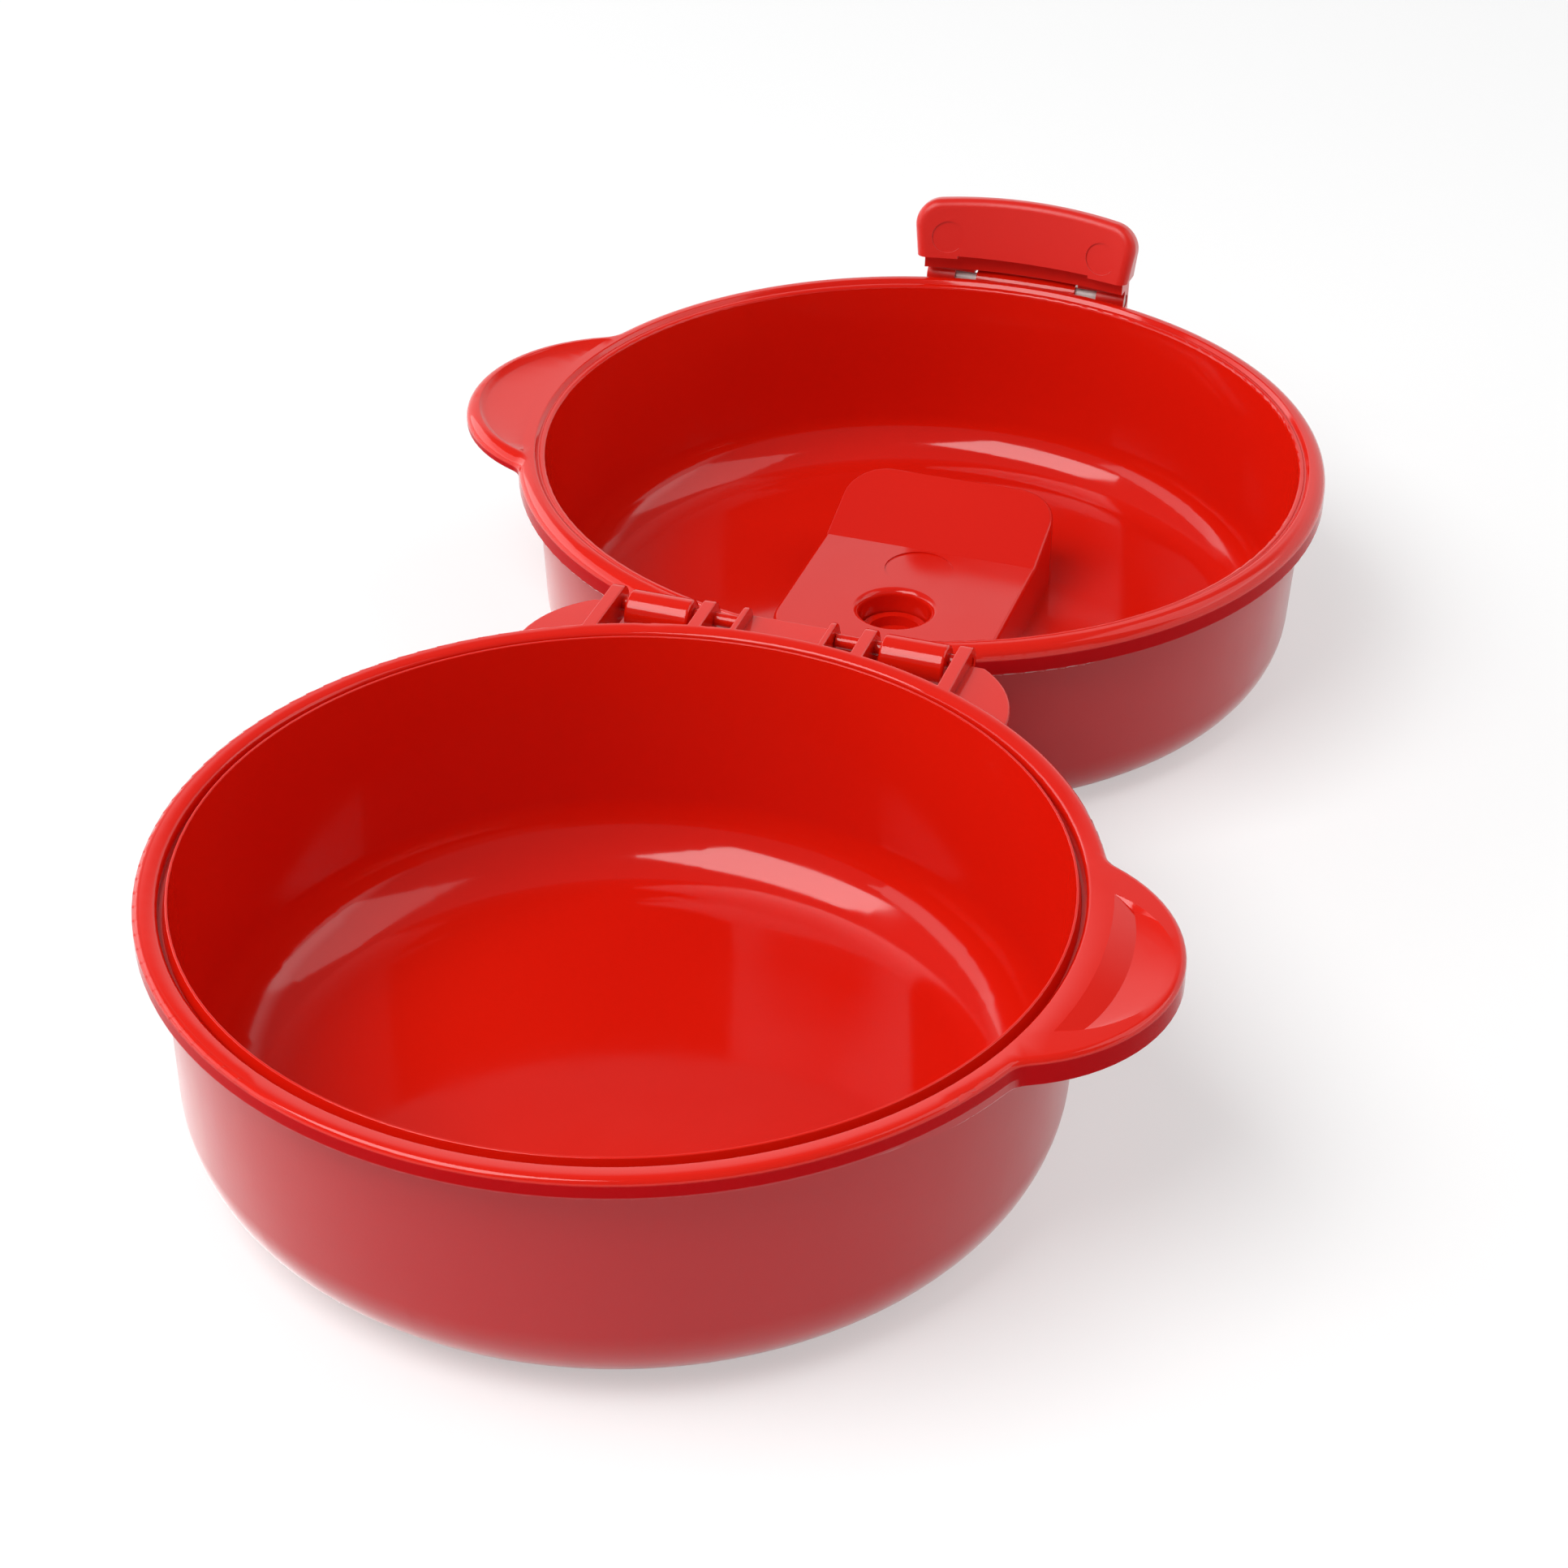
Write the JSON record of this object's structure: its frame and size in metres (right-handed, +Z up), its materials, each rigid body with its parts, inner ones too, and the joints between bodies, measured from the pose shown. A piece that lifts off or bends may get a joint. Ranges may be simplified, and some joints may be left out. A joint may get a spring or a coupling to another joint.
{
  "type": "hinged microwave egg cooker",
  "caption": "Round hinged egg cooker with a base bowl, a bowl-shaped lid, side ears, a snap clip that hooks under the base rim and a flap over the lid's steam hole.",
  "frame": {"origin": "centre of the base bowl's flat underside, on the table", "axes": "+Z up, +Y from the base bowl across the hinge to the opened lid, +X to the side with the base ear"},
  "size_m": [0.1381, 0.2463, 0.0443],
  "materials": {
    "base_plastic": "glossy inside, satin outside",
    "lid_plastic": "glossy inside, satin outside",
    "clip_plastic": "glossy",
    "hinge_plastic": "glossy",
    "pin_plastic": "satin"
  },
  "bodies": {
    "base": {"base_bowl": "base_plastic", "left_hinge_pin": "hinge_plastic", "right_hinge_pin": "hinge_plastic"},
    "lid": {"lid_bowl": "lid_plastic", "latch_pin": "pin_plastic"},
    "latch": {"latch_clip": "clip_plastic"},
    "vent": {"vent_flap": "clip_plastic"}
  },
  "joints": [
    {"name": "lid_hinge", "type": "hinge", "parent": "base", "child": "lid", "pos_m": [0, 0.06245, 0.03385], "axis": [1, 0, 0], "range_deg": [0, 180]},
    {"name": "latch_hinge", "type": "hinge", "parent": "lid", "child": "latch", "pos_m": [0, 0.1853, 0.02995], "axis": [-1, 0, 0], "range_deg": [-5, 94]},
    {"name": "vent_hinge", "type": "hinge", "parent": "lid", "child": "vent", "pos_m": [0, 0.1382, 0.0026], "axis": [1, 0, 0], "range_deg": [0, 125]}
  ]
}
